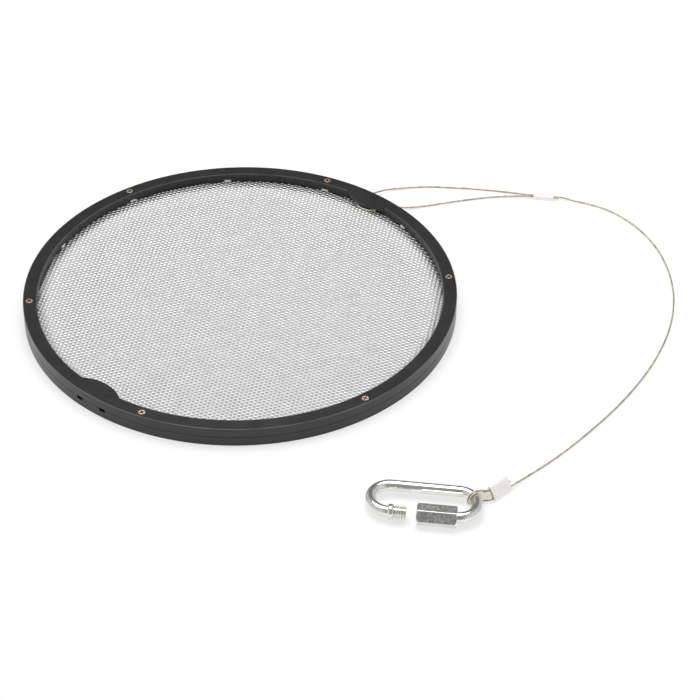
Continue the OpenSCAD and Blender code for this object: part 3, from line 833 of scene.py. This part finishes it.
def makeSheetTree():
    tree, net, given = newTree("perforate", {
        "Pitch": "Float", "Hole": "Float", "Thickness": "Float", "Radius": "Float", "Turn": "Float",
        "Height": "Float", "Lip": "Float", "Lip Depth": "Float", "Side X": "Float", "Side Y": "Float",
        "Material": "Material", "Hole Material": "Material"})
    pitch, radius, turn = given.also("Pitch"), given.also("Radius"), given.also("Turn")
    here = net.node("GeometryNodeInputPosition", out="Position")
    apart, away = net.split(here), net.vector("LENGTH", here, out="Value")

    # a point for every hole of this quarter
    rowHigh = math.sin(math.radians(60))
    reach = (radius / pitch).reckon("CEIL") + 1
    rows = (radius / pitch / rowHigh).reckon("CEIL") + 1
    wide = reach * 2 + 1
    index = net.node("GeometryNodeInputIndex", out="Index")
    row = (index / wide).reckon("FLOOR") - rows
    column = index % wide - reach
    level = net.join((column + 0.5 * (row % 2)) * pitch, row * pitch * rowHigh, 0.0)
    place = net.node("ShaderNodeVectorRotate", {"rotation_type": "Z_AXIS"}, {"Vector": level, "Angle": turn})
    spots = net.node("GeometryNodePoints", {}, {"Count": wide * (rows * 2 + 1), "Position": place})
    tooFar = away > radius - given.also("Hole") / 2
    otherX = (apart.also("X") + sheet["aside"][0] * mm) * given.also("Side X") < 0.0
    otherY = (apart.also("Y") + sheet["aside"][1] * mm) * given.also("Side Y") < 0.0
    kept = net.node("GeometryNodeDeleteGeometry", {"domain": "POINT"},
                    {"Geometry": spots, "Selection": tooFar + otherX + otherY > 0.5})

    # a grid is bent into a cell: its x runs round the hole
    # its y, here out, runs from 0 at the hole to 1 behind the lip and 2 at the cell's border
    angle = (apart.also("X") + 0.5) * -math.tau
    fold = (angle * -1 + math.pi / 6) % (math.pi / 3) - math.pi / 6
    border = pitch / 2 / fold.reckon("COSINE")
    inner, lip = given.also("Hole") / 2, given.also("Lip")
    out = (apart.also("Y") + 0.5) * 2
    flange = (border - inner - lip) * (out - 1).reckon("MAXIMUM", 0.0)
    ring = inner + lip * out.reckon("MINIMUM", 1.0) + flange
    cellPlace = net.join(ring * angle.reckon("COSINE"), ring * angle.reckon("SINE"), 0.0)
    turned = net.join(0.0, 0.0, turn)
    inside = net.scaled(here, radius / away.reckon("MAXIMUM", radius))

    def layCells(rings):                        # joined to their neighbours, and kept inside the sheet's edge
        strip = net.node("GeometryNodeMeshGrid", {}, {
            "Size X": 1.0, "Size Y": 1.0, "Vertices X": sheet["sides"] + 1, "Vertices Y": rings}, "Mesh")
        marked = net.node("GeometryNodeStoreNamedAttribute", {"data_type": "FLOAT", "domain": "POINT"},
                          {"Geometry": strip, "Name": "lip", "Value": out < 0.5})
        cell = net.node("GeometryNodeSetPosition", {}, {"Geometry": marked, "Position": cellPlace})
        many = net.node("GeometryNodeInstanceOnPoints", {},
                        {"Points": kept, "Instance": cell, "Rotation": turned})
        loose = net.node("GeometryNodeRealizeInstances", {}, [many])
        whole = net.node("GeometryNodeMergeByDistance", {},
                         {"Geometry": loose, "Distance": sheet["weld"] * mm})
        return net.node("GeometryNodeSetPosition", {}, {"Geometry": whole, "Position": inside})

    thick = net.node("GeometryNodeExtrudeMesh", {"mode": "FACES"},
                     {"Mesh": layCells(3), "Individual": False, "Offset": (0.0, 0.0, 1.0),
                      "Offset Scale": given.also("Thickness")}, "Mesh")
    underside = net.node("GeometryNodeFlipFaces", {}, [layCells(2)])
    closed = net.node("GeometryNodeMergeByDistance", {},
                      {"Geometry": net.both(thick, underside), "Distance": sheet["edgeWeld"] * mm})

    # each hole's upper edge is rolled down
    mark = net.node("GeometryNodeInputNamedAttribute", {"data_type": "FLOAT"}, {"Name": "lip"}, "Attribute")
    rim = mark * (apart.also("Z") > given.also("Thickness") / 2) > 0.5
    down = net.join(0.0, 0.0, given.also("Lip Depth") * -1)
    rolled = net.node("GeometryNodeSetPosition", {}, {"Geometry": closed, "Selection": rim, "Offset": down})
    lifted = net.node("GeometryNodeTransform", {},
                      {"Geometry": rolled, "Translation": net.join(0.0, 0.0, given.also("Height"))})
    closeTree(net, lifted, given.also("Material"), given.also("Hole Material"))
    return tree


sheetTree = makeSheetTree()
for number, (sideX, sideY) in enumerate([(1, 1), (-1, 1), (-1, -1), (1, -1)], 1):
    quarter = newObject(f"perforatedSheet{number}")
    runTree(quarter, sheetTree, {
        "Pitch": sheet["pitch"] * mm, "Hole": sheet["hole"] * mm, "Thickness": sheet["thickness"] * mm,
        "Radius": sheet["radius"] * mm, "Turn": math.radians(sheet["turn"]), "Height": sheet["height"] * mm,
        "Lip": sheet["lip"] * mm, "Lip Depth": sheet["lipDepth"] * mm,
        "Side X": float(sideX), "Side Y": float(sideY), "Material": screenMetal, "Hole Material": holeMetal})
    finishPiece(quarter, "frame", "screen_metal", "mesh_screen")
    print("stage: sheet quarter", number, "has", len(quarter.data.polygons), "faces")


# what repeats round the ring: screws and tabs
def makeAroundTree():
    tree, net, given = newTree("aroundRing", {
        "Count": "Int", "Start": "Float", "Radius": "Float", "Spread": "Float", "Seed": "Int",
        "Material": "Material"})
    index = net.node("GeometryNodeInputIndex", out="Index")
    angle = given.also("Start") + index / given.also("Count") * math.tau
    radius = given.also("Radius")
    place = net.join(angle.reckon("COSINE") * radius, angle.reckon("SINE") * radius, 0.0)
    spots = net.node("GeometryNodePoints", {}, {"Count": given.also("Count"), "Position": place})
    twist = net.node("FunctionNodeRandomValue", {"data_type": "FLOAT"},
                     {"Min_001": given.also("Spread") * -1, "Max_001": given.also("Spread"),
                      "Seed": given.also("Seed")}, "Value_001")
    many = net.node("GeometryNodeInstanceOnPoints", {},
                    {"Points": spots, "Instance": given.also("Geometry"),
                     "Rotation": net.join(0.0, 0.0, angle + twist)})
    closeTree(net, many, given.also("Material"))
    return tree


aroundTree = makeAroundTree()


def layAround(blank, name, piece, nodes, slot, material):
    made = runTree(blank, aroundTree, {
        "Count": piece["count"], "Start": math.radians(piece["start"]), "Radius": piece["radius"] * mm,
        "Spread": math.radians(piece["spread"]), "Seed": piece["seed"], "Material": material})
    made.name = name
    finishPiece(made, "frame", slot, *[f"{nodes}_{i}" for i in range(1, piece["count"] + 1)], sharp=35)


screw = {"count": 6, "start": 63, "radius": 116.5, "spread": 70, "seed": 4, "sides": 36,
         "top": 11.2, "head": 3.8, "headDeep": 0.9, "headEdge": ((0.04, 0.06), (0.12, 0)),
         "shank": 2.0, "length": 9.0, "tip": 0.3, "tipDeep": 0.8,
         "cross": 3.0, "blade": 0.72, "recess": 0.85, "floorCross": 0.75, "floorBlade": 0.8, "clear": 0.1}


def makeCrossCutter(s, turn):
    def outline(half, blade, z):
        return point((-half, -blade, z), (half, -blade, z), (half, blade, z), (-half, blade, z))

    half, blade = s["cross"] / 2, s["blade"] / 2
    low = outline(half * s["floorCross"], blade * s["floorBlade"], s["top"] - s["recess"])
    cutter = loft("crossCutter", [low, outline(half, blade, s["top"] + s["clear"])])
    cutter.data.transform(Matrix.Rotation(math.radians(turn), 4, "Z"))
    return cutter


def makeScrewBlank(s):
    a = np.arange(s["sides"]) * math.tau / s["sides"]
    end, shank = s["top"] - s["length"], s["shank"] / 2
    profile = [(s["tip"], end), (shank, end + s["tipDeep"]), (shank, s["top"] - s["headDeep"])]
    profile += [(s["head"] / 2 - inwards, s["top"] - lower) for inwards, lower in s["headEdge"]]
    rings = [np.stack([np.cos(a) * r, np.sin(a) * r, np.full(len(a), z)], axis=1) for r, z in profile]
    blank = loft("screwBlank", rings)
    for turn in (0, 90):
        cutter = makeCrossCutter(s, turn)
        step = blank.modifiers.new("recess", "BOOLEAN")
        step.object, step.operation, step.solver = cutter, "DIFFERENCE", "EXACT"
        applyModifiers(blank)
        bpy.data.objects.remove(cutter)
    return blank


# only the edges round a tab's top are rounded: those that lie wholly above its foot
tab = {"count": 12, "start": 3, "radius": 112.45, "spread": 0, "seed": 0,
       "wide": 4.3, "high": 1.35, "thick": 1.1, "sheetTop": 6.1,
       "slope": 0.85, "foot": 0.1, "round": 0.28, "roundSteps": 3}


def makeTabBlank(t):
    made = newObject("tabBlank")
    with meshWork(made) as work:
        bmesh.ops.create_cube(work, size=1.0)
        for v in work.verts:
            lower = t["slope"] * (v.co.z > 0 > v.co.x)                # the top leans to the ring's middle
            height = t["sheetTop"] + (v.co.z + 0.5) * t["high"] - lower
            v.co = Vector(((v.co.x + 0.5) * t["thick"], v.co.y * t["wide"], height)) * mm
        foot = (t["sheetTop"] + t["foot"]) * mm
        upper = [e for e in work.edges if all(v.co.z > foot for v in e.verts)]
        bmesh.ops.bevel(work, geom=upper, offset=t["round"] * mm, segments=t["roundSteps"], profile=0.5,
                        affect="EDGES")
    return made


layAround(makeScrewBlank(screw), "frameScrews", screw, "frame_screw", "screw_brass", screwBrass)
layAround(makeTabBlank(tab), "sheetTabs", tab, "mesh_tab", "screen_metal", tabMetal)
print("stage: screws and tabs")


# the rings keep their own solids
for name in ("upper_ring", "lower_ring"):
    paint(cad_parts[name], ringPlastic)


# floor, lamp and sky; the floor has a painted shade under the screen, darker there with less glow, and its
# reach says where that ends
studio = {
    "floor": 4.0, "floorSides": 96, "floorTone": 0.96, "floorGlow": 0.62,
    "paintedShadeTone": 0.57, "paintedShadeGlow": 0.1, "paintedShadeReach": (0.1, 0.12),
    "frontSky": 0.33, "backSky": 0.22, "depthFrom": (-0.3, 0.3),
    "sideSky": 0.75, "sideFrom": (0.25, 0.6), "topSky": 0.42, "topFrom": (0.85, 0.97),
    "keyPlace": (0.0, 0.2, 1.15), "keyAim": (0.05, -0.03, 0), "keySize": 0.95, "keyPower": 10.9,
}


def grey(level):
    return (level, level, level, 1)


def makeFloor(s):
    made = newObject("floor")
    with meshWork(made) as work:
        bmesh.ops.create_circle(work, cap_ends=True, segments=s["floorSides"], radius=s["floor"])
    material, net, place = newMaterial("floorPaper")
    seen = net.node("ShaderNodeLightPath", out="Is Camera Ray")
    shown = (seen + seen.also("Is Glossy Ray") + seen.also("Is Transmission Ray")).reckon("MINIMUM", 1.0)
    away = net.vector("LENGTH", place, out="Value")
    # painted shade: darker paper and less glow under the screen
    colour = net.blend(net.range(away, *s["paintedShadeReach"]), grey(s["paintedShadeTone"]), grey(s["floorTone"]))
    paper = net.node("ShaderNodeBsdfDiffuse", {}, {"Color": colour})
    glow = net.node("ShaderNodeEmission", {}, {"Color": grey(1), "Strength": 1.0})
    lift = net.range(away, *s["paintedShadeReach"], s["paintedShadeGlow"], s["floorGlow"])
    mixed = net.node("ShaderNodeMixShader", {}, [shown * lift, paper, glow])
    net.node("ShaderNodeOutputMaterial", {}, {"Surface": mixed})
    paint(made, material)


def makeLamp(s):
    data = bpy.data.lights.new("keyLamp", "AREA")
    data.shape, data.size, data.energy = "DISK", s["keySize"], s["keyPower"]
    lamp = bpy.data.objects.new("keyLamp", data)
    lamp.location = s["keyPlace"]
    lamp.rotation_mode = "QUATERNION"
    lamp.rotation_quaternion = (Vector(s["keyAim"]) - Vector(s["keyPlace"])).to_track_quat("-Z", "Y")
    scene.collection.objects.link(lamp)


def makeWorld(s):
    world = bpy.data.worlds.new("studio")
    world.use_nodes = True
    world.node_tree.nodes.clear()
    net = Net(world.node_tree)
    apart = net.split(net.node("ShaderNodeTexCoord", out="Generated"))
    level = net.range(apart.also("Y"), *s["depthFrom"], s["frontSky"], s["backSky"])
    side = net.range(apart.also("X").reckon("ABSOLUTE"), *s["sideFrom"]) * (s["sideSky"] - s["frontSky"])
    top = net.range(apart.also("Z"), *s["topFrom"]) * (s["topSky"] - s["frontSky"])
    seen = net.node("ShaderNodeLightPath", out="Is Camera Ray")
    strength = (level + side + top) * (1 - seen) + seen
    sky = net.node("ShaderNodeBackground", {}, {"Color": grey(1), "Strength": strength})
    net.node("ShaderNodeOutputWorld", {}, {"Surface": sky})
    scene.world = world


makeFloor(studio)
makeLamp(studio)
makeWorld(studio)
print("stage: studio")
